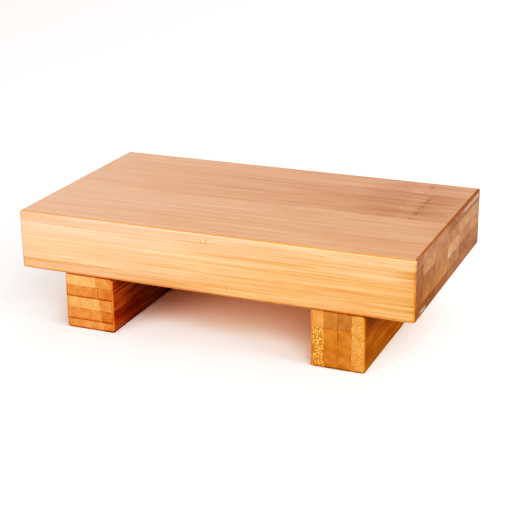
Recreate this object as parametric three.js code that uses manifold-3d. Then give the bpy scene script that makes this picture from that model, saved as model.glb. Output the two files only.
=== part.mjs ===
import * as THREE from 'three';
import { RoundedBoxGeometry } from 'three/addons/geometries/RoundedBoxGeometry.js';
import { mergeVertices } from 'three/addons/utils/BufferGeometryUtils.js';
import Module from 'manifold-3d';

// Raised serving board: a slab of glued bamboo strips, doweled to two block legs.
// Millimetres. X runs along the board, Y from front to back, Z up from the table.

// Board, its top ply planed thinner and its outer strips ripped narrower than the rest
const boardLength = 210;
const boardPlyCount = 5;
const boardPlyThickness = 6.4;
const boardTopPlyThickness = 5.4;
const boardFullStripCount = 4;
const boardStripWidth = 22;
const boardFrontStripWidth = 12;
const boardBackStripWidth = 20;
const boardEdgeRadius = 1.2;

// Legs
const legInset = 24;
const legSetback = 1;
const legEdgeRadius = 1.5;

// Left leg, its plies lying flat, the lowest planed thinner, with a joint that moves from ply to ply
const leftLegPlyCount = 5;
const leftLegPlyThickness = 6.2;
const leftLegLowestPlyThickness = 5.2;
const leftLegNarrowStripWidth = 9.6;
const leftLegJointStagger = 0.9;

// Right leg, its plies standing on edge
const rightLegPlyCount = 4;
const rightLegPlyThickness = 6.9;
const rightLegUpperStripHeight = 9;

// Dowels, half in the leg and half in the board, bored clear of the board's joints
const dowelDiameter = 6;
const dowelLength = 30;
const dowelChamfer = 0.8;
const dowelFluteCount = 12;
const dowelFluteRadius = 0.35;

// Fits
const boreClearance = 0.2;
const boreEndClearance = 1;

// Resolution and cutting allowance
const edgeSegments = 4;
const roundSegments = 24;
const fluteSegments = 8;
const weldTolerance = 1e-4;
const overcut = 1;

// Sizes that follow from the ones above
const boardThickness = boardTopPlyThickness + (boardPlyCount - 1) * boardPlyThickness;
const boardWidth = boardFrontStripWidth + boardFullStripCount * boardStripWidth + boardBackStripWidth;
const legHeight = (leftLegPlyCount - 1) * leftLegPlyThickness + leftLegLowestPlyThickness;
const legWidth = rightLegPlyCount * rightLegPlyThickness;
const legLength = boardWidth - 2 * legSetback;
const legOffset = boardLength / 2 - legInset - legWidth / 2;
const boreRadius = dowelDiameter / 2 + boreClearance;
const boreLength = dowelLength + 2 * boreEndClearance;

// Dowel places across the board, in the middle of its first and last full strips
const firstFullStrip = boardFrontStripWidth + boardStripWidth / 2;
const lastFullStrip = firstFullStrip + (boardFullStripCount - 1) * boardStripWidth;
const frontDowelY = firstFullStrip - boardWidth / 2;
const rearDowelY = lastFullStrip - boardWidth / 2;

// Dowel places in each leg: in the middle of the left one's wide strip, and on the right one's middle joint
const leftDowelX = -leftLegNarrowStripWidth / 2;
const rightDowelX = 0;

const wasm = await Module();
wasm.setup();

const material = (name, color, roughness) =>
  new THREE.MeshStandardMaterial({ name, color, roughness, metalness: 0 });

const pale = material('bamboo_pale', 0xe6b77c, 0.5);
const honey = material('bamboo_honey', 0xd1924f, 0.5);
const brown = material('bamboo_brown', 0xa9662f, 0.5);
const dowelWood = material('dowel_wood', 0xd9bd8f, 0.7);

// Tone of each strip, ply by ply from the top or the left
const boardTones = [
  [pale, pale, honey, brown, brown, pale],
  [honey, pale, honey, honey, pale, honey],
  [pale, honey, honey, pale, honey, honey],
  [honey, pale, pale, honey, brown, honey],
  [pale, brown, brown, honey, honey, honey],
];
const leftLegTones = [
  [pale, honey],
  [honey, brown],
  [pale, honey],
  [brown, honey],
  [honey, honey],
];
const rightLegTones = [
  [pale, honey],
  [brown, honey],
  [brown, honey],
  [pale, pale],
];

function solidFrom(geometry) {
  const bare = geometry.clone();
  bare.deleteAttribute('normal');
  bare.deleteAttribute('uv');
  const welded = mergeVertices(bare, weldTolerance);
  const mesh = new wasm.Mesh({
    numProp: 3,
    vertProperties: new Float32Array(welded.attributes.position.array),
    triVerts: new Uint32Array(welded.index.array),
  });
  return new wasm.Manifold(mesh);
}

function geometryFrom(solid) {
  const { vertProperties, triVerts } = solid.getMesh();
  const geometry = new THREE.BufferGeometry();
  geometry.setAttribute('position', new THREE.BufferAttribute(vertProperties, 3));
  geometry.setIndex(new THREE.BufferAttribute(triVerts, 1));
  geometry.computeVertexNormals();
  return geometry;
}

function uprightCylinder(radius, length, segments) {
  return new THREE.CylinderGeometry(radius, radius, length, segments).rotateX(Math.PI / 2);
}

// Evenly spaced joints
function joints(first, pitch, count) {
  return Array.from({ length: count }, (_, i) => first + i * pitch);
}

// The spans that joints leave in a size
function courses(total, cuts) {
  return [...cuts, total].map((end, i) => [i === 0 ? 0 : cuts[i - 1], end]);
}

// Places a course in a centred block, counted from the left, the front or the top. The outermost
// courses run past the block, so that its own rounded faces finish them.
function span(axis, total, [from, to]) {
  const low = from > 0 ? from : -overcut;
  const high = to < total ? to : total + overcut;
  return axis === 'z' ? [total / 2 - high, total / 2 - low] : [low - total / 2, high - total / 2];
}

// A rounded, bored block cut into its glued strips. stripsOf gives the strip courses of one ply.
function laminate({ name, size, edgeRadius, bores, plyAxis, plies, stripAxis, stripsOf, tones }) {
  const group = new THREE.Group();
  group.name = name;
  const rounded = new RoundedBoxGeometry(size.x, size.y, size.z, edgeSegments, edgeRadius);
  const block = bores.reduce((solid, bore) => solid.subtract(bore), solidFrom(rounded));
  plies.forEach((ply, i) => {
    stripsOf(i).forEach((strip, j) => {
      const reach = {};
      for (const axis of ['x', 'y', 'z']) {
        reach[axis] = span(axis, size[axis], [0, size[axis]]);
      }
      reach[plyAxis] = span(plyAxis, size[plyAxis], ply);
      reach[stripAxis] = span(stripAxis, size[stripAxis], strip);
      const { x, y, z } = reach;
      const blank = new THREE.BoxGeometry(x[1] - x[0], y[1] - y[0], z[1] - z[0]);
      blank.translate((x[0] + x[1]) / 2, (y[0] + y[1]) / 2, (z[0] + z[1]) / 2);
      const row = tones[i % tones.length];
      const mesh = new THREE.Mesh(geometryFrom(block.intersect(solidFrom(blank))), row[j % row.length]);
      mesh.name = `${name}_ply_${i + 1}_strip_${j + 1}`;
      group.add(mesh);
    });
  });
  return group;
}

function bore(x, y, z) {
  return solidFrom(uprightCylinder(boreRadius, boreLength, roundSegments).translate(x, y, z));
}

function board() {
  const strips = courses(boardWidth, joints(boardFrontStripWidth, boardStripWidth, boardFullStripCount + 1));
  const bores = [];
  for (const x of [leftDowelX - legOffset, rightDowelX + legOffset]) {
    for (const y of [frontDowelY, rearDowelY]) {
      bores.push(bore(x, y, -boardThickness / 2));
    }
  }
  const group = laminate({
    name: 'board',
    size: new THREE.Vector3(boardLength, boardWidth, boardThickness),
    edgeRadius: boardEdgeRadius,
    bores,
    plyAxis: 'z',
    plies: courses(boardThickness, joints(boardTopPlyThickness, boardPlyThickness, boardPlyCount - 1)),
    stripAxis: 'y',
    stripsOf: () => strips,
    tones: boardTones,
  });
  group.position.z = legHeight + boardThickness / 2;
  return group;
}

function leg(name, dowelX, layup) {
  const group = laminate({
    name,
    size: new THREE.Vector3(legWidth, legLength, legHeight),
    edgeRadius: legEdgeRadius,
    bores: [frontDowelY, rearDowelY].map((y) => bore(dowelX, y, legHeight / 2)),
    ...layup,
  });
  group.position.z = legHeight / 2;
  return group;
}

function leftLeg() {
  const narrow = (i) => leftLegNarrowStripWidth - i * leftLegJointStagger;
  return leg('left_leg', leftDowelX, {
    plyAxis: 'z',
    plies: courses(legHeight, joints(leftLegPlyThickness, leftLegPlyThickness, leftLegPlyCount - 1)),
    stripAxis: 'x',
    stripsOf: (i) => courses(legWidth, [legWidth - narrow(i)]),
    tones: leftLegTones,
  });
}

function rightLeg() {
  return leg('right_leg', rightDowelX, {
    plyAxis: 'x',
    plies: courses(legWidth, joints(rightLegPlyThickness, rightLegPlyThickness, rightLegPlyCount - 1)),
    stripAxis: 'z',
    stripsOf: () => courses(legHeight, [rightLegUpperStripHeight]),
    tones: rightLegTones,
  });
}

// Chamfered rod with glue flutes along it
function dowel(name, x, y) {
  const profile = new THREE.Shape().absarc(0, 0, dowelDiameter / 2, 0, 2 * Math.PI);
  const rod = new THREE.ExtrudeGeometry(profile, {
    depth: dowelLength - 2 * dowelChamfer,
    curveSegments: roundSegments,
    bevelSegments: 1,
    bevelThickness: dowelChamfer,
    bevelSize: dowelChamfer,
    bevelOffset: -dowelChamfer,
  });
  rod.translate(0, 0, dowelChamfer - dowelLength / 2);
  let solid = solidFrom(rod);
  for (let i = 0; i < dowelFluteCount; i += 1) {
    const angle = (i + 0.5) * 2 * Math.PI / dowelFluteCount;
    const flute = uprightCylinder(dowelFluteRadius, dowelLength + 2 * overcut, fluteSegments);
    flute.translate(Math.cos(angle) * dowelDiameter / 2, Math.sin(angle) * dowelDiameter / 2, 0);
    solid = solid.subtract(solidFrom(flute));
  }
  const mesh = new THREE.Mesh(geometryFrom(solid), dowelWood);
  mesh.name = name;
  mesh.position.set(x, y, legHeight);
  return mesh;
}

function support(side, block, dowelX, x) {
  const group = new THREE.Group();
  group.name = `${side}_support`;
  group.add(block);
  group.add(dowel(`${side}_front_dowel`, dowelX, frontDowelY));
  group.add(dowel(`${side}_rear_dowel`, dowelX, rearDowelY));
  group.position.x = x;
  return group;
}

const tray = new THREE.Group();
tray.name = 'serving_tray';
tray.add(board());
tray.add(support('left', leftLeg(), leftDowelX, -legOffset));
tray.add(support('right', rightLeg(), rightDowelX, legOffset));

export default tray;
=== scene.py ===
import math

import bpy
import numpy as np
from mathutils import Matrix, Vector


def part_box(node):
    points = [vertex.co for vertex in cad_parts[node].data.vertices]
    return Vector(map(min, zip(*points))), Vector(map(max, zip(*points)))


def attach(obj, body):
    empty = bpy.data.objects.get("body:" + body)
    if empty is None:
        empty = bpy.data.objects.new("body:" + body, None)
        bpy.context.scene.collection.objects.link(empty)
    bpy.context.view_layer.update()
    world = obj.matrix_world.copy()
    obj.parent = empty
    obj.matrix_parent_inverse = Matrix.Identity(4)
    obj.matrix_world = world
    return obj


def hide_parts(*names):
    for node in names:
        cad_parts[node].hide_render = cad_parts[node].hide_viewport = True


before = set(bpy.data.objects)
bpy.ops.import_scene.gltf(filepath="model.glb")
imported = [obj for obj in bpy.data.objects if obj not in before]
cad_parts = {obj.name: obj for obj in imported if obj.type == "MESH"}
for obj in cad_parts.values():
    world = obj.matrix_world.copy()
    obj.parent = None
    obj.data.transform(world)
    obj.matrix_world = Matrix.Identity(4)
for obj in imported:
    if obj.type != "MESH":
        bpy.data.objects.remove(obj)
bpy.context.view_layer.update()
scene = bpy.context.scene
millimetres = 1000  # in a metre
print("frame loaded with", len(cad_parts), "nodes")


# camera, solved from the corners of the board and legs
cameraLook = {
    "place": (0.25464, -0.59457, 0.26562),  # metres
    "turn": 23.132,  # degrees to the left, down and round the lens
    "tilt": 20.069,
    "roll": -0.749,
    "lens": 91.65,  # mm
    "sensor": 36,  # mm
    "clip": (0.01, 60),  # metres
}


def makeCamera(look):
    data = bpy.data.cameras.new("photoCamera")
    data.sensor_width = look["sensor"]
    data.lens = look["lens"]
    data.clip_start, data.clip_end = look["clip"]
    camera = bpy.data.objects.new("photoCamera", data)
    turn = Matrix.Rotation(math.radians(look["turn"]), 4, "Z")
    tilt = Matrix.Rotation(math.radians(90 - look["tilt"]), 4, "X")
    roll = Matrix.Rotation(math.radians(look["roll"]), 4, "Z")
    camera.matrix_world = Matrix.Translation(look["place"]) @ turn @ tilt @ roll
    scene.collection.objects.link(camera)
    scene.camera = camera


makeCamera(cameraLook)
print("camera set")


# a shader socket that takes part in sums
class Wire:
    def __init__(self, tree, socket=None):
        self.tree = tree
        self.socket = socket

    def node(self, kind, settings, sockets, output=0):
        made = self.tree.nodes.new("ShaderNode" + kind)
        for name, value in settings.items():
            if name == "stops":
                ramp = made.color_ramp
                while len(ramp.elements) < len(value):
                    ramp.elements.new(0.5)
                for element, (place, colour) in zip(ramp.elements, value):
                    element.position = place
                    element.color = (*colour, 1)
            else:
                setattr(made, name, value)
        for name, value in sockets.items():
            if isinstance(value, Wire):
                self.tree.links.new(value.socket, made.inputs[name])
            else:
                made.inputs[name].default_value = value
        return Wire(self.tree, made.outputs[output])

    def maths(self, operation, *values):
        return self.node("Math", {"operation": operation}, dict(enumerate(values)))

    def __add__(self, other):
        return self.maths("ADD", self, other)

    def __radd__(self, other):
        return self.maths("ADD", other, self)

    def __sub__(self, other):
        return self.maths("SUBTRACT", self, other)

    def __rsub__(self, other):
        return self.maths("SUBTRACT", other, self)

    def __mul__(self, other):
        return self.maths("MULTIPLY", self, other)

    def __rmul__(self, other):
        return self.maths("MULTIPLY", other, self)

    def __abs__(self):
        return self.maths("ABSOLUTE", self)

    def most(self, other):
        return self.maths("MAXIMUM", self, other)

    def fade(self, start, end):  # 0 at start, 1 at end, eased
        settings = {"interpolation_type": "SMOOTHSTEP"}
        return self.node("MapRange", settings, {"Value": self, "From Min": start, "From Max": end})

    def noise(self, place, scale, detail, roughness=0.5):
        sockets = {"Vector": self.times(place, scale), "Scale": 1}
        sockets.update({"Detail": detail, "Roughness": roughness})
        return self.node("TexNoise", {}, sockets, "Fac")

    def ramp(self, stops):
        return self.node("ValToRGB", {"stops": stops}, {"Fac": self}, "Color")

    def blend(self, factor, first, second):
        return self.node("Mix", {"data_type": "RGBA"}, {0: factor, 6: first, 7: second}, 2)

    def attribute(self, name, output="Fac"):
        return self.node("Attribute", {"attribute_name": name}, {}, output)

    def times(self, vector, factors):
        return self.node("VectorMath", {"operation": "MULTIPLY"}, {0: vector, 1: factors})

    def parts(self, vector):
        split = self.node("SeparateXYZ", {}, {"Vector": vector}).socket.node
        return [Wire(self.tree, socket) for socket in split.outputs]


def newMaterial(name, constants):
    material = bpy.data.materials.new(name)
    material.use_nodes = True
    tree = material.node_tree
    shader = tree.nodes["Principled BSDF"]
    for socket, value in constants.items():
        shader.inputs[socket].default_value = value
    return material, Wire(tree), shader


def feed(wire, shader, sockets):
    for name, value in sockets.items():
        wire.tree.links.new(value.socket, shader.inputs[name])


# bamboo: the strip's own mesh says how dark it is, where it is cut, where its marks lie and where
# shade and highlights are painted along its edges
bambooLook = {
    "pale": [  # along the grain
        (0.00, (0.663, 0.394, 0.300)),
        (0.16, (0.592, 0.328, 0.236)),
        (0.36, (0.474, 0.250, 0.157)),
        (0.56, (0.350, 0.180, 0.106)),
        (0.80, (0.220, 0.068, 0.018)),
        (1.00, (0.150, 0.040, 0.008)),
    ],
    "umber": [  # across the grain
        (0.00, (0.375, 0.243, 0.150)),
        (0.36, (0.270, 0.160, 0.092)),
        (0.60, (0.194, 0.102, 0.063)),
        (0.80, (0.124, 0.057, 0.032)),
        (1.00, (0.086, 0.036, 0.018)),
    ],
    "amber": [  # the legs, the underside and the end's upper edges, whose orange is rubbed finish and partly painted shade
        (0.00, (0.920, 0.400, 0.090)),
        (0.16, (0.570, 0.262, 0.125)),
        (0.36, (0.430, 0.182, 0.064)),
        (0.56, (0.290, 0.122, 0.020)),
        (0.68, (0.208, 0.088, 0.005)),
        (0.80, (0.150, 0.052, 0.002)),
        (1.00, (0.098, 0.034, 0.001)),
    ],
    "shadedRed": [  # the left leg: redder wood, whose darkest stops are a painted deep red shade for its inner side under the board
        (0.00, (0.920, 0.400, 0.090)),
        (0.16, (0.570, 0.262, 0.125)),
        (0.36, (0.430, 0.182, 0.064)),
        (0.56, (0.275, 0.092, 0.014)),
        (0.64, (0.215, 0.054, 0.004)),
        (0.72, (0.160, 0.026, 0.002)),
        (0.80, (0.105, 0.010, 0.001)),
        (1.00, (0.070, 0.005, 0.001)),
    ],
    "rampPlace": (0.16, 0.664),  # where tone 0 falls on the ramps, and how far tone 1 is from it
    "rubbed": (0.62, 0.17, 0.012, 1),  # orange along the edges: finish rubbed thin, partly painted shade where the sheen leaves the round
    "endRubbedAndShaded": 0.12,  # share of it on the end's edges
    "bundle": (0.86, 0.56, 0.23, 1),  # pale ends of the fibre bundles
    "chalk": (0.42, 0.34, 0.30, 1),  # raw, unlacquered ends
    "noises": {  # scale along, across and through the strip, then detail and roughness
        "broad": ((0.010, 0.24, 0.24), 2),
        "cloud": ((0.045, 0.20, 0.20), 2),
        "streak": ((0.012, 1.05, 1.05), 3, 0.65),
        "line": ((0.016, 3.2, 3.2), 2),
        "fibre": ((0.120, 7.0, 7.0), 2),
    },
    "bundles": {"stretch": (0.012, 1.0, 1.0), "scale": 1.15, "uneven": 0.8, "fade": (0.18, 0.48)},
    "endCut": (0.72, 0.93),  # how square to the grain, from the first end colour to the full one
    "shadeMix": {"even": 0.60, "cloud": 0.60, "streak": 0.20},  # dark strips are the more streaked
    "longMix": {"streak": 0.66, "line": 0.40, "broad": 0.12, "fibre": 0.16},
    "endMix": {"broad": 0.55, "fibre": 0.75},
    "markMix": {"nodeLine": 0.18, "nodeBand": 0.13, "mark": 0.30},
    "warmStreak": 0.9,  # some streaks are the warmer
    "longSeam": 0.04,
    "glueLine": {"tone": 0.30, "fade": (0.1, 1.3)},  # mm above the joint
    "coatRoughness": 0.15,
    "endCoatLoss": 0.85,
    "roughMix": {"streak": 0.16, "endCut": 0.35},
    "heights": {
        "streak": 0.5, "line": 0.3, "fibre": 0.4, "bundle": 0.3, "nodeLine": 0.8, "mark": 0.5,
    },
    "bump": {"Strength": 0.12, "Distance": 0.0003},
}
nodeLook = {
    "waver": ((0.0, 0.6, 0.6), 3),
    "waverWidth": 7,  # mm
    "line": (0.2, 1.5),
    "lineBreaks": (0.35, 0.6),
    "bandPlace": 5.5,  # mm before the line
    "band": (2.0, 6.5),
    "bandPatches": ((0.12, 0.35, 0.35), 2),
    "bandBreaks": (0.35, 0.65),
}
markLook = {
    "waver": ((0.9, 0.9, 0.9), 2),
    "waverWidth": 1.2,  # mm
    "halfGap": 1.2,
    "lean": 0.3,
    "curve": 0.1,
    "stroke": (0.1, 0.6),
    "reach": (1.0, 2.2),
    "squeeze": 0.7,
    "eye": (0.3, 1.2),
    "eyePale": 0.6,
}
rawLook = {"edge": (0.5, 1.2), "even": 0.4, "fibrous": 0.6, "fibreFade": (0.3, 0.6)}
finishLook = {
    "lacqueredBamboo": {
        "ramp": "amber",
        "specular": 0.30,
        "roughness": 0.44,
        "coat": 0.10,
        "edgeCoat": 0.9,
        "rubbed": 1.0,
        "endEdgeTone": 0.90,
        "seam": 0.12,
    },
    "oiledBamboo": {
        "ramp": "amber",
        "specular": 0.04,
        "roughness": 0.72,
        "coat": 0.0,
        "edgeCoat": 0.1,
        "rubbed": 0.25,
        "endEdgeTone": 0.15,
        "seam": 0.28,
    },
}
# the left leg's finish, on the ramp with painted deep red shade
finishLook["shadedRedBamboo"] = {**finishLook["oiledBamboo"], "ramp": "shadedRed"}


# growth nodes: a patchy pale band across the strip that ends in a wavering dark line
def growthNode(wire, grain, broad, look):
    waver = (wire.noise(grain, *look["waver"]) - 0.5) * look["waverWidth"]
    gap = wire.attribute("nodeGap") + waver
    nodeLine = (1 - abs(gap).fade(*look["line"])) * broad.fade(*look["lineBreaks"])
    patches = wire.noise(grain, *look["bandPatches"]).fade(*look["bandBreaks"])
    nodeBand = (1 - abs(gap + look["bandPlace"]).fade(*look["band"])) * patches
    return nodeLine, nodeBand


# bud marks: a pair of strokes that close downwards on a pale eye
def budMark(wire, grain, look):
    along, strength, through = wire.parts(wire.attribute("mark", "Vector"))
    sway = along + (wire.noise(grain, *look["waver"]) - 0.5) * look["waverWidth"]
    bow = through * look["lean"] - through * through * look["curve"]
    stroke = 1 - abs(abs(sway) + bow - look["halfGap"]).fade(*look["stroke"])
    eye = 1 - abs(sway).most(abs(through)).fade(*look["eye"])
    near = 1 - abs(through).most(abs(along) * look["squeeze"]).fade(*look["reach"])
    return (stroke * near - eye * look["eyePale"]) * strength


# raw streaks on the end cut
def rawStreak(wire, fibre, look):
    beside, below, strength = wire.parts(wire.attribute("chalk", "Vector"))
    fibrous = look["even"] + fibre.fade(*look["fibreFade"]) * look["fibrous"]
    return (1 - abs(beside).most(abs(below)).fade(*look["edge"])) * fibrous, strength


def bambooMaterial(name, finish, look):
    constants = {"IOR": 1.5, "Specular IOR Level": finish["specular"]}
    constants["Coat Roughness"] = look["coatRoughness"]
    material, wire, shader = newMaterial(name, constants)
    grain = wire.attribute("grain", "Vector")  # millimetres along, across and through the strip
    endCut = wire.attribute("endCut").fade(*look["endCut"])
    rim = wire.attribute("rim")
    endRim = wire.attribute("endRim")

    kinds = ("broad", "cloud", "streak", "line", "fibre")
    broad, cloud, streak, line, fibre = (wire.noise(grain, *look["noises"][kind]) for kind in kinds)
    cells = {"Vector": wire.times(grain, look["bundles"]["stretch"])}
    cells.update({"Scale": look["bundles"]["scale"], "Randomness": look["bundles"]["uneven"]})
    bundle = wire.node("TexVoronoi", {"feature": "F1"}, cells, "Distance")
    bundle = 1 - bundle.fade(*look["bundles"]["fade"])
    nodeLine, nodeBand = growthNode(wire, grain, broad, nodeLook)
    mark = budMark(wire, grain, markLook)

    mix = look["shadeMix"]
    longTone = mix["even"] + cloud * mix["cloud"] + streak * mix["streak"]
    longTone = wire.attribute("shade") * longTone
    mix = look["longMix"]
    lively = (streak - 0.5) * mix["streak"] + (line - 0.5) * mix["line"]
    longTone = longTone + lively * wire.attribute("lively")
    longTone = longTone + (broad - 0.5) * mix["broad"] + (fibre - 0.5) * mix["fibre"]
    mix = look["markMix"]
    longTone = longTone + nodeLine * mix["nodeLine"] - nodeBand * mix["nodeBand"] + mark * mix["mark"]
    mix = look["endMix"]
    endTone = wire.attribute("endShade") + (broad - 0.5) * mix["broad"] + (fibre - 0.5) * mix["fibre"]
    tone = longTone + (endTone - longTone) * endCut
    # the end's upper edges darker, partly painted shade
    tone = tone + endRim * finish["endEdgeTone"]
    tone = tone + wire.attribute("seam") * (look["longSeam"] + endCut * finish["seam"])
    glueLine = 1 - wire.attribute("glueGap").fade(*look["glueLine"]["fade"])
    tone = tone + glueLine * look["glueLine"]["tone"] * endCut

    start, reach = look["rampPlace"]
    place = start + tone * reach
    colour = wire.blend(endCut, place.ramp(look["pale"]), place.ramp(look["umber"]))
    warm = wire.attribute("amber") + (streak - 0.5) * look["warmStreak"]
    colour = wire.blend(warm, colour, place.ramp(look[finish["ramp"]]))
    # rubbed orange along the edges, partly painted shade
    rubbed = (rim + endRim * look["endRubbedAndShaded"]) * finish["rubbed"]
    colour = wire.blend(rubbed, colour, look["rubbed"])
    colour = wire.blend(bundle * wire.attribute("speckle") * endCut, colour, look["bundle"])
    raw, strength = rawStreak(wire, fibre, rawLook)
    colour = wire.blend(raw * endCut * strength, colour, look["chalk"])

    coat = (1 - endCut * look["endCoatLoss"]) * finish["coat"]
    coat = coat + wire.attribute("edge") * finish["edgeCoat"]
    mix = look["roughMix"]
    rough = finish["roughness"] + (streak - 0.5) * mix["streak"] + endCut * mix["endCut"]
    mix = look["heights"]
    height = streak * mix["streak"] + line * mix["line"] + fibre * mix["fibre"]
    height = height + bundle * mix["bundle"] - nodeLine * mix["nodeLine"] - mark * mix["mark"]
    bump = wire.node("Bump", {}, {**look["bump"], "Height": height})
    feed(wire, shader, {"Base Color": colour, "Roughness": rough})
    feed(wire, shader, {"Coat Weight": coat, "Normal": bump})
    return material


bamboo = {name: bambooMaterial(name, finish, bambooLook) for name, finish in finishLook.items()}
print("bamboo finishes made")


# strips, each a finer copy of its solid cut from a rounded block of wood
jointLook = {"width": 0.0002, "depth": 0.00004}  # the fine groove left along a glue line
boreLook = {"radius": 0.0032, "endGap": 0.001, "sides": 32}
gridLook = {
    "angles": (45, 34, 23, 11.5, 0),  # of the lines over an edge's round
    "closest": 0.0004,
    "sharp": 35,  # degrees, where shading breaks
}
tiny = {"place": 1e-6, "point": 1e-8, "round": 1e-7, "touch": 1e-5, "length": 1e-12}  # metres
dowelNames = [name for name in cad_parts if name.endswith("_dowel")]
dowels = [[np.array(corner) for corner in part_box(name)] for name in dowelNames]


def gridStops(low, high, blockLow, blockHigh, edge, inner):
    bends = [edge * (1 - math.tan(math.radians(angle))) for angle in gridLook["angles"]]
    atStart = abs(low - blockLow) < tiny["place"]
    atEnd = abs(high - blockHigh) < tiny["place"]
    width, clear = jointLook["width"], gridLook["closest"]
    start = [low + bend for bend in bends] if atStart else [low, low + width]
    end = [high - bend for bend in reversed(bends)] if atEnd else [high - width, high]
    middle = sorted(place for place in inner if start[-1] + clear < place < end[0] - clear)
    return start + middle + end, (not atStart, not atEnd)


def boxSkin(stops):
    counts = [len(s) for s in stops]
    skin = np.zeros(counts, bool)
    skin[[0, -1]] = True
    skin[:, [0, -1]] = True
    skin[:, :, [0, -1]] = True
    number = np.full(counts, -1)
    number[skin] = np.arange(skin.sum())
    points = np.stack(np.meshgrid(*stops, indexing="ij"), -1)[skin]
    faces = []
    for axis in range(3):
        for side in (0, -1):
            sheet = np.take(number, side, axis)
            around = [sheet[:-1, :-1], sheet[1:, :-1], sheet[1:, 1:], sheet[:-1, 1:]]
            quads = np.stack(around, -1).reshape(-1, 4)
            faces.append(quads[:, ::-1] if (side == 0) != (axis == 1) else quads)
    return points, np.concatenate(faces)


def roundBlock(points, blockLow, blockHigh, edge):
    held = np.clip(points, blockLow + edge, blockHigh - edge)
    off = points - held
    length = np.maximum(np.linalg.norm(off, axis=1), tiny["length"])
    return held, off, length, off / length[:, None]


# a strip with its dowel holes drilled, where a dowel passes
def drill(mesh, low, high):
    radius, count = boreLook["radius"], boreLook["sides"]
    for dowelLow, dowelHigh in dowels:
        middle = (dowelLow + dowelHigh) / 2
        reach = np.array([radius] * 2 + [(dowelHigh - dowelLow)[2] / 2 + boreLook["endGap"]])
        below = np.any(middle + reach < low + tiny["touch"])
        if below or np.any(middle - reach > high - tiny["touch"]):
            continue
        turn = np.arange(count) * 2 * math.pi / count
        ring = np.stack([np.cos(turn), np.sin(turn)], -1) * radius + middle[:2]
        corners = [(*spot, middle[2] + side * reach[2]) for side in (-1, 1) for spot in ring]
        after = [(i + 1) % count for i in range(count)]
        walls = [(i, after[i], after[i] + count, i + count) for i in range(count)]
        ends = [tuple(reversed(range(count))), tuple(range(count, 2 * count))]
        cutterMesh = bpy.data.meshes.new("drill")
        cutterMesh.from_pydata(corners, [], walls + ends)
        cutter = bpy.data.objects.new("drill", cutterMesh)
        blank = bpy.data.objects.new("blank", mesh)
        for item in (cutter, blank):
            scene.collection.objects.link(item)
        cut = blank.modifiers.new("drill", "BOOLEAN")
        cut.object = cutter
        cut.solver = "EXACT"
        graph = bpy.context.evaluated_depsgraph_get()
        drilled = bpy.data.meshes.new_from_object(blank.evaluated_get(graph))
        for item in (cutter, blank):
            bpy.data.objects.remove(item)
        bpy.data.meshes.remove(cutterMesh)
        bpy.data.meshes.remove(mesh)
        mesh = drilled
    return mesh


def stripMesh(node, block, look, strip, turns):
    low, high = (np.array(corner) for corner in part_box(node))
    blockLow, blockHigh = block
    edge = look["edge"]
    along = look["axes"][0]
    inner = [[], [], []]  # grid lines where the tone turns
    inner[along] = [blockLow[along] + place / millimetres for place, shade in turns]
    if "front" in look and strip == 1:
        face = look["front"]
        places = [place for place, amber in face["amber"]] + [face["endFade"][0]]
        inner[along] += [blockLow[along] + place / millimetres for place in places]
        inner[2].append(blockHigh[2] - face["lowFade"][0] / millimetres)
    grids = [gridStops(low[i], high[i], blockLow[i], blockHigh[i], edge, inner[i]) for i in range(3)]
    stops, glued = zip(*grids)
    points, faces = boxSkin(stops)

    # round the block's own edges and leave a fine groove along each joint
    held, off, length, normal = roundBlock(points, blockLow, blockHigh, edge)
    reach = np.abs(off).max(1)
    shaped = held + off * (reach / length)[:, None]
    joint = np.zeros(len(points), bool)
    for i in range(3):
        joint |= glued[i][0] & (np.abs(points[:, i] - low[i]) < tiny["point"])
        joint |= glued[i][1] & (np.abs(points[:, i] - high[i]) < tiny["point"])
    groove = joint & (reach > edge - tiny["round"])
    shaped[groove] -= normal[groove] * jointLook["depth"]
    mesh = bpy.data.meshes.new(node + "_blank")
    mesh.from_pydata(shaped.tolist(), [], faces.tolist())
    mesh = drill(mesh, low, high)
    mesh.name = node + "_wood"
    return mesh, low, high, glued


# how tone and finish change over a strip, with painted shade and painted highlights on its edges;
# lifts are degrees from level, as centre and width
toneLook = {
    "strayStep": (397.0, 71.0, 53.0),  # mm in the grain from one strip to the next
    "grainLean": 0.004,  # the grain runs a little off the length
    "outside": 1.2,  # groove depths below the skin that still count as outside
    "facing": 0.6,  # how square a face is to its side
    "fullBend": 0.293,  # what the normal loses half way round an edge
    "leastBend": 0.01,
    "cornerLift": 5,  # an edge that is closer to level is an upright corner
    "upper": (70, 23),
    "lower": (-25, 25),
    "endUpper": (64, 28),
    # lift of the painted highlight along the front's top edge
    "paintedHighlight": (26, 14),
    "uprightRim": 0.2,
    "lowerRim": 0.25,
    # painted shade: darker lower rounds, on the long grain and on the end grain
    "lowerPaintedShade": 0.45,
    "lowerEndPaintedShade": 0.25,
    "endEdge": 0.3,  # less coat on the end's edges
    "underside": 0.9,
    "topReach": (210, 90),  # mm along and back over which the top turns to amber
    "endReach": (70, 31),  # mm back and down over which the end does
    "endLeast": 0.2,
    "endPower": 1.3,
    "speckle": 0.04,
    "nowhere": 900,  # mm, off every strip
}


def hump(lift, middle):
    return np.exp(-((lift - middle[0]) / middle[1]) ** 2)


def ease(place, start, width):
    return np.clip((place - start) / width, 0, 1)


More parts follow.
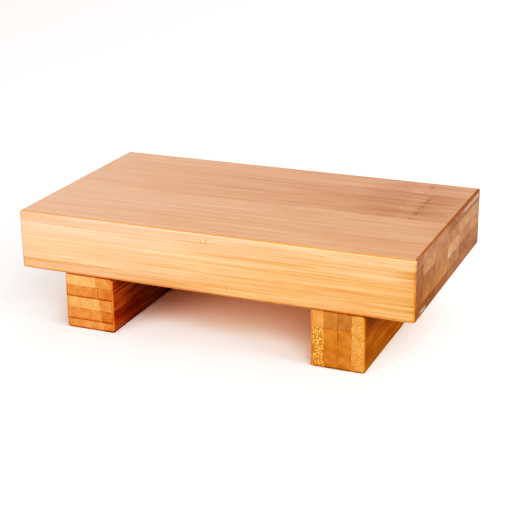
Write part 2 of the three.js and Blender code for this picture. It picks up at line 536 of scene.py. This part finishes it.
# what the finish reads at each point of the strip
def stripTones(mesh, low, high, glued, block, look, key, turns, order):
    blockLow, blockHigh = block
    edge = look["edge"]
    along, across, through = look["axes"]
    row, column = key[0] - 1, key[1] - 1
    spots = np.empty(len(mesh.vertices) * 3, np.float32)
    mesh.vertices.foreach_get("co", spots)
    spots = spots.reshape(-1, 3).astype(float)
    length, normal = roundBlock(spots, blockLow, blockHigh, edge)[2:]
    outside = length > edge - toneLook["outside"] * jointLook["depth"]
    seam = np.zeros(len(spots))
    for i in range(3):
        for near, corner in zip(glued[i], (low, high)):
            if near:
                seam = np.maximum(seam, np.abs(spots[:, i] - corner[i]) < tiny["place"])
    place = (spots[:, along] - blockLow[along]) * millimetres
    outer = blockLow[0], blockLow[1], blockHigh[2]
    depth = np.abs(spots - outer) * millimetres  # from the left, the front and the top
    frontDepth, topDepth = depth[:, 1], depth[:, 2]
    grain = (spots - low)[:, list(look["axes"])] * millimetres
    grain = grain + np.array(toneLook["strayStep"]) * order
    grain[:, 1] += place * ((order * 5) % 7 - 3) * toneLook["grainLean"]

    # edges: painted shade under the lower rounds and on the board's upright corners, a painted
    # highlight on the legs' upright corners, and an orange rim that is partly rubbed finish and
    # partly painted shade
    lift = np.degrees(np.arcsin(np.clip(normal[:, 2], -1, 1)))
    bend = (1 - np.abs(normal).max(1)) / toneLook["fullBend"]
    rounded = bend > toneLook["leastBend"]
    level = np.abs(lift) < toneLook["cornerLift"]
    upper = hump(lift, toneLook["upper"]) * rounded
    lower = hump(lift, toneLook["lower"]) * rounded
    endUpper = hump(lift, toneLook["endUpper"]) * rounded
    upright = rounded & level
    endCut = np.where(outside, np.abs(normal[:, along]), 0)
    endSide = np.abs(normal[:, along]) > np.abs(normal[:, across])
    # painted shade under the lower rounds
    paintedEdgeShading = toneLook["lowerPaintedShade"] * lower
    # painted shading on upright corners: darker on the board, paler on the legs
    paintedEdgeShading = paintedEdgeShading + look["cornerPaintedShading"] * np.sqrt(np.abs(bend)) * upright
    # the orange rim: rubbed finish, partly painted shade where the sheen leaves the round
    rim = (upper + toneLook["lowerRim"] * lower) * ~endSide
    rim = rim + toneLook["uprightRim"] * bend * upright

    # the top warms towards the front right, the underside is amber
    facingUp = np.clip(normal[:, 2], 0, 1)
    reachAlong, reachBack = toneLook["topReach"]
    topAmber = look["topAmber"] * place / reachAlong * np.clip(1 - frontDepth / reachBack, 0, 1)
    amber = look["amber"][row][column] + topAmber * facingUp
    lively = np.full(len(spots), look["lively"] * look["calm"].get(key, 1))
    if "front" in look:
        face = look["front"]
        front = outside & (normal[:, 1] < -toneLook["facing"])
        frontAmber = np.interp(place, *zip(*face["amber"]))
        frontAmber = frontAmber + np.minimum(topDepth / face["height"], 0.5) - face["topPale"]
        frontAmber = frontAmber + face["lowAmber"] * ease(topDepth, *face["lowFade"])
        amber = np.where(front, frontAmber, amber)
        # a painted highlight: a paler line along the front's top edge, fading in from the left
        paintedHighlight = hump(lift, toneLook["paintedHighlight"]) * rounded * front
        paintedHighlight = paintedHighlight * np.interp(place, *zip(*face["paintedHighlight"]))
        paintedEdgeShading = paintedEdgeShading - face["paintedHighlightPale"] * paintedHighlight
        # painted shade: the front darker over its last mm towards the right end
        paintedEdgeShading = paintedEdgeShading + face["endTone"] * front * ease(place, *face["endFade"])
        lively = np.where(front, face["lively"], lively)
    under = outside & (normal[:, 2] < -toneLook["facing"])
    amber = np.maximum(amber, toneLook["underside"] * under)

    # the end is warmest at the front, low down
    reachBack, reachDown = toneLook["endReach"]
    least = toneLook["endLeast"]
    warmth = least + (1 - least) * np.clip(1 - frontDepth / reachBack, 0, 1)
    warmth = warmth * (topDepth / reachDown) ** toneLook["endPower"]
    endAmber = look["endAmber"][0] + look["endAmber"][1] * warmth
    amber = np.clip(np.where(endCut > toneLook["facing"], endAmber, amber), 0, 1)
    # the end's upper edges: darker and warmer, partly rubbed finish and partly painted shade
    endRim = np.where(outside, endUpper * endSide, 0)

    nowhere = toneLook["nowhere"]
    topShade = np.interp(place, *zip(*look["topTurns"].get(key, [(0, 0)])))
    shade = np.interp(place, *zip(*turns)) + topShade * facingUp + np.where(outside, paintedEdgeShading, 0)
    # painted shade on the end grain's lower rounds
    lowerEnd = np.where(outside, toneLook["lowerEndPaintedShade"] * lower, 0)
    coated = bend * np.where(endSide, toneLook["endEdge"], 1)
    glueGap = (spots[:, 2] - low[2]) * millimetres
    values = {
        "shade": shade,
        "endShade": look["endShade"][row][column] + lowerEnd,
        "amber": np.maximum(amber, endRim),
        "lively": lively,
        "endCut": endCut,
        "edge": np.where(outside & ~level, coated, 0),
        "rim": np.where(outside, rim, 0),  # orange along the edges: finish rubbed thin, partly painted shade where the sheen leaves the round
        "endRim": endRim,
        "seam": np.where(outside, seam, 0),
        "speckle": np.full(len(spots), look["speckle"].get(key, toneLook["speckle"])),
        "nodeGap": place - look["nodes"].get(key, nowhere),
        "glueGap": glueGap + (0 if key[0] in look["gluedPlies"] else nowhere),
    }
    markPlace, markDepth, markStrength = look["marks"].get(key, (nowhere, nowhere, 0))
    markStrength = np.full(len(spots), markStrength)
    chalk = look["chalk"].get(key, (nowhere, 1, nowhere, 1, 0))
    middleAcross, halfAcross, middleThrough, halfThrough, rawStrength = chalk
    rawSide = spots[:, along] * look["chalkEnd"] > 0
    vectors = {
        "grain": grain,
        "mark": np.stack([place - markPlace, markStrength, depth[:, through] - markDepth], -1),
        "chalk": np.stack([
            (depth[:, across] - middleAcross) / halfAcross,
            (depth[:, through] - middleThrough) / halfThrough,
            np.where(rawSide, rawStrength, 0),
        ], -1),
    }
    return values, vectors


def addStrip(node, block, look, key, order):
    turns = look["turns"].get(key, [(0, look["shade"][key[0] - 1][key[1] - 1])])
    mesh, low, high, glued = stripMesh(node, block, look, key[1], turns)
    values, vectors = stripTones(mesh, low, high, glued, block, look, key, turns, order)
    for name, value in vectors.items():
        attribute = mesh.attributes.new(name, "FLOAT_VECTOR", "POINT")
        attribute.data.foreach_set("vector", value.astype(np.float32).ravel())
    for name, value in values.items():
        attribute = mesh.attributes.new(name, "FLOAT", "POINT")
        attribute.data.foreach_set("value", value.astype(np.float32))
    mesh.shade_smooth()
    mesh.set_sharp_from_angle(angle=math.radians(gridLook["sharp"]))
    mesh.materials.clear()
    mesh.materials.append(bamboo[look["finish"]])

    piece = bpy.data.objects.new(node + "_wood", mesh)
    scene.collection.objects.link(piece)
    even = piece.modifiers.new("evenNormals", "WEIGHTED_NORMAL")
    even.keep_sharp = True
    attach(piece, "root")
    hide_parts(node)


def addStrips(look, order):
    nodes = sorted(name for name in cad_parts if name.startswith(look["name"] + "_ply_"))
    corners = np.array([[list(corner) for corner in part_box(node)] for node in nodes])
    block = corners[:, 0].min(0), corners[:, 1].max(0)
    for count, node in enumerate(nodes):
        words = node.split("_")
        addStrip(node, block, look, (int(words[-3]), int(words[-1])), order + count)
    print(look["name"], "strips made:", len(nodes))
    return order + len(nodes)


# rows go by ply and strip, and so do the keys
# turns of shade, nodes, marks and chalk are millimetres from the left or front and the top
plainLook = {
    "topTurns": {},  # added to the shade where a strip faces up
    "turns": {},  # shade along a strip that isn't even
    "topAmber": 0.0,
    "calm": {},  # strips with weaker streaks
    "nodes": {},
    "marks": {},
    "speckle": {},
    "gluedPlies": (),  # plies with a dark glue line below them
    "chalk": {},
}
boardLook = {
    **plainLook,
    "name": "board",
    "axes": (0, 1, 2),
    "edge": 0.0012,
    "finish": "lacqueredBamboo",
    "shade": [
        [0.12, 0.14, 0.16, 0.22, 0.22, 0.16],
        [0.12, 0.30, 0.30, 0.30, 0.30, 0.24],
        [0.16, 0.30, 0.30, 0.30, 0.30, 0.16],
        [0.20, 0.30, 0.30, 0.30, 0.30, 0.30],
        [0.20, -0.15, -0.10, -0.18, -0.12, -0.15],
    ],
    "turns": {
        (1, 1): [(0, 0.22), (40, 0.12), (105, 0.08), (210, 0.04)],
        (1, 2): [(0, 0.09), (110, 0.29), (210, 0.44)],
        (1, 3): [(0, 0.08), (110, 0.30), (210, 0.46)],
        (1, 4): [
            (0, 0.13), (100, 0.42), (150, 0.53), (174, 0.68), (189, 0.68), (192, 0.70), (210, 0.58),
        ],
        (1, 5): [
            (0, 0.17), (90, 0.39), (140, 0.53), (155, 0.58), (182, 0.74), (192, 0.73), (210, 0.59),
        ],
        (1, 6): [(0, 0.15), (120, 0.37), (150, 0.44), (172, 0.62), (195, 0.58), (210, 0.52)],
        (2, 1): [(0, -0.07), (45, -0.05), (100, 0.10), (198, 0.15), (210, 0.38)],
        (3, 1): [(0, -0.04), (40, -0.06), (110, 0.05), (210, 0.17)],
        (4, 1): [(0, 0.06), (40, 0.04), (110, 0.09), (210, 0.22)],
        (5, 1): [(0, 0.21), (65, 0.22), (115, 0.12), (150, 0.12), (180, 0.22), (210, 0.22)],
    },
    "topTurns": {(1, 1): [(0, -0.11), (40, 0.04), (105, 0.22), (210, 0.37)]},
    "endShade": [
        [0.86, 0.76, 0.72, 0.97, 0.94, 0.98],
        [1.00, 0.71, 0.76, 0.78, 0.62, 0.64],
        [1.04, 0.96, 0.80, 0.53, 0.76, 0.68],
        [1.08, 0.88, 0.78, 0.81, 0.96, 0.82],
        [1.30, 1.28, 1.04, 0.94, 0.92, 0.92],
    ],
    "amber": [[0.0] * 6, [0.1] * 6, [0.2] * 6, [0.3] * 6, [0.4, 0.9, 0.9, 0.9, 0.9, 0.4]],
    "topAmber": 0.34,
    "endAmber": (0.05, 1.15),  # all over, and added where the end is warmest
    # painted shade darkens the board's upright corners
    "cornerPaintedShading": 0.35,
    "lively": 1.1,
    "calm": {(1, 4): 0.65, (1, 5): 0.65},
    "front": {
        "lively": 1.3,
        "amber": [(0, 0.43), (60, 0.46), (90, 0.68), (125, 0.80), (150, 0.96), (210, 0.98)],
        "height": 31,  # mm
        "topPale": 0.4,
        "lowFade": (28, 3),  # start and width, mm
        "lowAmber": 0.2,
        # painted shade: the front darker over its last 7 mm before the right end
        "endFade": (203, 7),
        "endTone": 0.10,
        # where the painted highlight along the top edge shows, and how pale it is
        "paintedHighlight": [(0, 0), (30, 0.5), (90, 1)],
        "paintedHighlightPale": 0.45,
    },
    "nodes": {
        (1, 4): 190, (1, 5): 190.5, (1, 6): 186, (2, 6): 62, (4, 6): 148,
        (5, 2): 84, (5, 3): 171, (5, 4): 40, (5, 5): 118,
    },
    "marks": {  # place, depth and strength
        (1, 1): (103.5, 4.0, 1.0),
        (2, 1): (120, 7.6, 0.25),
        (3, 1): (65, 14, 0.2),
        (5, 1): (116.7, 27.0, 0.25),
    },
    "chalkEnd": 1,
    "chalk": {  # middle and half width across, the same through, and strength
        (1, 5): (94, 10.5, 2.5, 1.1, 0.35),
        (1, 6): (108, 12, 2.5, 1.1, 0.38),
        (3, 4): (58.5, 2.2, 16.8, 1.5, 0.4),
        (5, 1): (12.5, 5, 28.4, 0.9, 0.45),
        (5, 2): (12.5, 5, 28.4, 0.9, 0.45),
    },
}
legLook = {
    **plainLook,
    "edge": 0.0015,
    "endAmber": (1.0, 0.0),
    # a painted highlight lightens the legs' upright corners
    "cornerPaintedShading": -0.45,
    "chalkEnd": -1,
}
leftLegLook = {
    **legLook,
    "name": "left_leg",
    "axes": (1, 0, 2),
    "finish": "shadedRedBamboo",
    # strip 2 is the inner side, in shade under the board: its darker shades and its turns along the
    # leg, darker about 22 mm in and lighter behind, are painted shade and painted light
    "shade": [[0.55, 0.76], [0.62, 0.78], [0.52, 0.66], [0.66, 0.86], [0.58, 0.84]],
    "turns": {
        (1, 2): [(0, 0.76), (22, 0.74), (50, 0.66)],
        (2, 2): [(0, 0.78), (22, 0.78), (50, 0.66)],
        (3, 2): [(0, 0.66), (22, 0.80), (50, 0.64)],
        (4, 2): [(0, 0.82), (22, 0.96), (50, 0.74)],
        (5, 2): [(0, 0.76), (22, 0.84), (50, 0.68)],
    },
    "endShade": [[0.06, 0.33], [0.38, 0.43], [0.15, 0.35], [0.32, 0.48], [0.27, 0.38]],
    "amber": [[1.0] * 2] * 5,
    "gluedPlies": (2, 4),
    "lively": 0.9,
    "speckle": {(1, 1): 0.2, (3, 1): 0.2},
}
rightLegLook = {
    **legLook,
    "name": "right_leg",
    "axes": (1, 2, 0),
    "finish": "oiledBamboo",
    "shade": [[0.25, 0.30], [0.70, 0.70], [0.70, 0.70], [1.00, 0.90]],
    # the upper strips of plies 2 and 3 are darker, partly painted shade from the board above
    "endShade": [[0.28, 0.52], [0.65, 0.56], [0.72, 0.58], [0.34, 0.38]],
    "amber": [[1.0] * 2] * 4,
    "lively": 0.95,
    "speckle": {(1, 2): 0.64, (4, 1): 0.28, (4, 2): 0.26},
    "chalk": {(2, 1): (4, 9, 10, 9, 0.1), (3, 1): (4, 9, 17, 9, 0.1)},
}
made = addStrips(boardLook, 0)
made = addStrips(leftLegLook, made)
addStrips(rightLegLook, made)


# hidden dowels keep their solids and get plain beech
dowelLook = {
    "pale": (0.66, 0.46, 0.25, 1),
    "dark": (0.48, 0.30, 0.14, 1),
    "streak": ((1800, 1800, 90), 3),
    "fleck": ((5000, 5000, 700), 2),
    "fleckFade": (0.6, 0.7),
    "darkMix": {"streak": 0.8, "fleck": 0.3},
    "roughness": (0.6, 0.2),
    "bump": {"Strength": 0.1, "Distance": 0.0002},
}


def dowelMaterial(look):
    material, wire, shader = newMaterial("dowelBeech", {"IOR": 1.5})
    place = wire.node("TexCoord", {}, {}, "Object")
    streak = wire.noise(place, *look["streak"])
    fleck = wire.noise(place, *look["fleck"]).fade(*look["fleckFade"])
    dark = streak * look["darkMix"]["streak"] + fleck * look["darkMix"]["fleck"]
    colour = wire.blend(dark, look["pale"], look["dark"])
    even, streaked = look["roughness"]
    bump = wire.node("Bump", {}, {**look["bump"], "Height": streak})
    feed(wire, shader, {"Base Color": colour, "Roughness": even + streak * streaked, "Normal": bump})
    return material


beech = dowelMaterial(dowelLook)
for name in dowelNames:
    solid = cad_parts[name].data
    solid.materials.clear()
    solid.materials.append(beech)
print("dowels finished")


# white floor and soft studio light
floorLook = {
    "size": 30.0,
    "colour": (0.94, 0.92, 0.915, 1),
    "roughness": 0.7,
    "glow": (1.3, 2.1),  # metres out, where the unlit floor turns white by itself
}
worldLook = {"colour": (1.0, 0.75, 0.62, 1), "strength": 0.13}
lightLook = {
    "key": {"place": (0.80, -1.10, 0.90), "size": 0.9, "power": 16.5},
    "frontLow": {
        "place": (-0.65, -1.40, 0.40), "size": 0.8, "power": 12.0, "colour": (1.0, 0.74, 0.60),
    },
    "frontHigh": {"place": (-0.40, -1.10, 1.10), "size": 0.9, "power": 4.4},
    "overhead": {"place": (0.50, 0.10, 1.25), "size": 1.4, "power": 1.4},
    "overFar": {"place": (1.00, 0.20, 1.10), "size": 1.0, "power": 4.0},
    "strip": {"place": (-0.55, 0.20, 1.20), "size": 1.0, "depth": 0.10, "power": 2.0},
    "right": {"place": (1.40, -0.30, 0.42), "size": 0.7, "power": 19.0, "gloss": False},
    "left": {"place": (-1.60, 0.15, 0.12), "size": 0.6, "depth": 0.2, "power": 3.2},
    "back": {"place": (-0.80, 1.45, 0.75), "size": 1.8, "power": 3.1},
    "washLeft": {
        "place": (-0.45, 1.30, 1.50), "aim": (-0.45, 1.10, 0.00), "size": 1.4, "power": 3.2,
    },
    "washFar": {
        "place": (-0.95, 1.45, 1.00), "aim": (-0.95, 1.30, 0.00), "size": 1.2, "power": 2.2,
        "gloss": False,
    },
    "washRight": {
        "place": (0.40, 1.50, 1.50), "aim": (0.40, 1.30, 0.00), "size": 1.4, "power": 18.0,
    },
}
lampDefaults = {"aim": (0, 0, 0.03), "colour": (1, 1, 1), "gloss": True}  # aimed at the board
gradeLook = {"contrast": 0.53, "stops": 10, "gamma": 2.2}


def floorMaterial(look):
    constants = {"Base Color": look["colour"], "Roughness": look["roughness"], "Emission Strength": 1}
    material, wire, shader = newMaterial("whitePaper", constants)
    material.cycles.emission_sampling = "NONE"  # the far floor is no lamp
    place = wire.node("TexCoord", {}, {}, "Object")
    far = wire.node("VectorMath", {"operation": "LENGTH"}, {0: place}, "Value")
    feed(wire, shader, {"Emission Color": far.fade(*look["glow"])})
    return material


def addFloor(look):
    half = look["size"] / 2
    corners = [(-half, -half, 0), (half, -half, 0), (half, half, 0), (-half, half, 0)]
    mesh = bpy.data.meshes.new("floor")
    mesh.from_pydata(corners, [], [(0, 1, 2, 3)])
    floor = bpy.data.objects.new("floor", mesh)
    mesh.materials.append(floorMaterial(look))
    scene.collection.objects.link(floor)


def addLight(name, look):
    look = {**lampDefaults, **look}
    data = bpy.data.lights.new(name, "AREA")
    data.shape = "RECTANGLE"
    data.size = look["size"]
    data.size_y = look.get("depth", look["size"])
    data.energy = look["power"]
    data.color = look["colour"]
    light = bpy.data.objects.new(name, data)
    light.visible_glossy = look["gloss"]  # shows in reflections
    light.location = look["place"]
    aim = Vector(look["aim"]) - light.location
    light.rotation_euler = aim.to_track_quat("-Z", "Y").to_euler()
    scene.collection.objects.link(light)


def addWorld(look):
    world = bpy.data.worlds.new("studio")
    world.use_nodes = True
    background = world.node_tree.nodes["Background"]
    background.inputs["Color"].default_value = look["colour"]
    background.inputs["Strength"].default_value = look["strength"]
    scene.world = world


# the photo's steep contrast, as a curve on scene light
def addGrade(look):
    view = scene.view_settings
    view.view_transform = "Standard"
    view.use_curve_mapping = True
    allColours = view.curve_mapping.curves[3]
    for i in range(1, look["stops"]):
        shown = i / look["stops"]
        steep = shown - look["contrast"] * math.sin(2 * math.pi * shown) / (2 * math.pi)
        allColours.points.new(shown ** look["gamma"], steep ** look["gamma"])
    view.curve_mapping.update()


addFloor(floorLook)
for name, look in lightLook.items():
    addLight(name, look)
addWorld(worldLook)
addGrade(gradeLook)
print("floor and light set")
